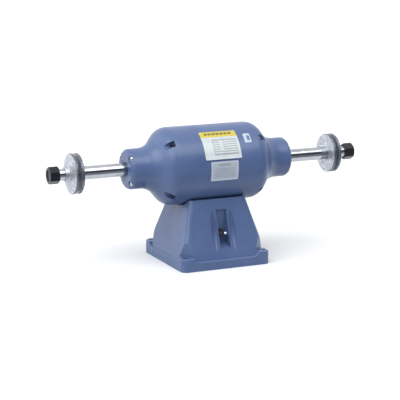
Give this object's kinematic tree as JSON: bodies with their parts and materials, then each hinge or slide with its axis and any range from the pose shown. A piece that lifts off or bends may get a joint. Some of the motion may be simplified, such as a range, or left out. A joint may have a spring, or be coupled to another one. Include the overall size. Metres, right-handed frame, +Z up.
{
  "type": "bench grinder",
  "caption": "Double-ended bench grinder: enclosed motor on a tapered cast pedestal, with a flanged arbor and nut at each end and a toggle switch in front.",
  "frame": {"origin": "middle of the pedestal's foot, on the bench", "axes": "+X along the spindle, -Y the switch side, +Z up"},
  "size_m": [0.6414, 0.191, 0.2625],
  "materials": {
    "blue_paint": "satin enamel over cast iron",
    "ground_steel": "ground and polished",
    "blasted_iron": "blasted grey casting",
    "black_nut": "black oxide",
    "zinc_screw": "zinc plated",
    "dark_screw": "black oxide",
    "plate_foil": "printed foil, blank",
    "label_foil": "silver foil, blank",
    "sticker_foil": "white foil, blank",
    "black_rubber": "moulded",
    "switch_plastic": "moulded phenolic",
    "toggle_chrome": "bright plated",
    "steel_plate": "plain sheet",
    "lamination": "stacked sheet",
    "copper_coil": "varnished",
    "die_cast": "as cast",
    "bearing_steel": "polished",
    "cage_brass": "pressed",
    "can_metal": "drawn can",
    "lead_jacket": "silicone"
  },
  "bodies": {
    "housing": {"base_casting": "blue_paint", "base_bottom_cover": "steel_plate", "bottom_cover_screws": "zinc_screw", "motor_mount_bolts": "zinc_screw", "motor_mount_washers": "zinc_screw", "motor_mount_blocks": "steel_plate", "toggle_switch_body": "switch_plastic", "toggle_switch_nut": "dark_screw", "run_capacitor": "can_metal", "capacitor_strap": "zinc_screw", "cord_gland": "black_rubber", "lead_grommet": "black_rubber", "internal_leads": "lead_jacket", "motor_shell": "blue_paint", "through_bolts": "dark_screw", "through_bolt_nuts": "dark_screw", "bearing_wave_spring": "bearing_steel", "stator_core": "lamination", "stator_winding": "copper_coil", "nameplate": "plate_foil", "nameplate_rivets": "zinc_screw", "data_label": "label_foil", "shell_sticker": "sticker_foil", "left_end_bell": "blue_paint", "left_inner_bearing_cap": "lamination", "left_bearing_cap_screws": "dark_screw", "left_bearing_outer_ring": "bearing_steel", "left_shaft_seal": "black_rubber", "right_end_bell": "blue_paint", "right_inner_bearing_cap": "lamination", "right_bearing_cap_screws": "dark_screw", "right_bearing_outer_ring": "bearing_steel", "right_shaft_seal": "black_rubber"},
    "spindle": {"spindle_shaft": "ground_steel", "rotor_core": "lamination", "rotor_cage": "die_cast", "left_bearing_inner_ring": "bearing_steel", "right_bearing_inner_ring": "bearing_steel", "left_inner_flange": "blasted_iron", "right_inner_flange": "blasted_iron"},
    "toggle": {"toggle_lever": "toggle_chrome"},
    "left_ball_cage": {"left_bearing_balls": "bearing_steel", "left_bearing_cage": "cage_brass"},
    "left_flange": {"left_outer_flange": "blasted_iron"},
    "left_spacer": {"left_collar": "ground_steel"},
    "left_arbor_nut": {"left_nut": "black_nut"},
    "right_ball_cage": {"right_bearing_balls": "bearing_steel", "right_bearing_cage": "cage_brass"},
    "right_flange": {"right_outer_flange": "blasted_iron"},
    "right_spacer": {"right_collar": "ground_steel"},
    "right_arbor_nut": {"right_nut": "black_nut"}
  },
  "joints": [
    {"name": "spindle_spin", "type": "hinge", "parent": "housing", "child": "spindle", "pos_m": [0, 0, 0.188], "axis": [1, 0, 0], "continuous": true},
    {"name": "left_ball_orbit", "type": "hinge", "parent": "housing", "child": "left_ball_cage", "pos_m": [-0.15565, 0, 0.188], "axis": [1, 0, 0], "continuous": true},
    {"name": "left_spacer_slide", "type": "slide", "parent": "spindle", "child": "left_spacer", "axis": [-1, 0, 0], "range_m": [0, 0.0185]},
    {"name": "left_flange_slide", "type": "slide", "parent": "spindle", "child": "left_flange", "axis": [-1, 0, 0], "range_m": [0, 0.0183]},
    {"name": "left_nut_turn", "type": "hinge", "parent": "left_spacer", "child": "left_arbor_nut", "pos_m": [-0.311, 0, 0.188], "axis": [1, 0, 0], "range_deg": [0, 2600]},
    {"name": "right_ball_orbit", "type": "hinge", "parent": "housing", "child": "right_ball_cage", "pos_m": [0.15565, 0, 0.188], "axis": [1, 0, 0], "continuous": true},
    {"name": "right_spacer_slide", "type": "slide", "parent": "spindle", "child": "right_spacer", "axis": [1, 0, 0], "range_m": [0, 0.0185]},
    {"name": "right_flange_slide", "type": "slide", "parent": "spindle", "child": "right_flange", "axis": [1, 0, 0], "range_m": [0, 0.0183]},
    {"name": "right_nut_turn", "type": "hinge", "parent": "right_spacer", "child": "right_arbor_nut", "pos_m": [0.311, 0, 0.188], "axis": [1, 0, 0], "range_deg": [0, 2600]},
    {"name": "toggle_throw", "type": "hinge", "parent": "housing", "child": "toggle", "pos_m": [0.002, -0.064, 0.062], "axis": [1, 0, 0], "range_deg": [0, 26]}
  ],
  "couplings": [
    {"joint": "left_ball_orbit", "follows": "spindle_spin", "ratio": 0.39633},
    {"joint": "left_spacer_slide", "follows": "left_flange_slide", "ratio": 1},
    {"joint": "left_nut_turn", "follows": "left_flange_slide", "rad_per_m": 2473.7},
    {"joint": "right_ball_orbit", "follows": "spindle_spin", "ratio": 0.39633},
    {"joint": "right_spacer_slide", "follows": "right_flange_slide", "ratio": 1},
    {"joint": "right_nut_turn", "follows": "right_flange_slide", "rad_per_m": 2473.7}
  ]
}
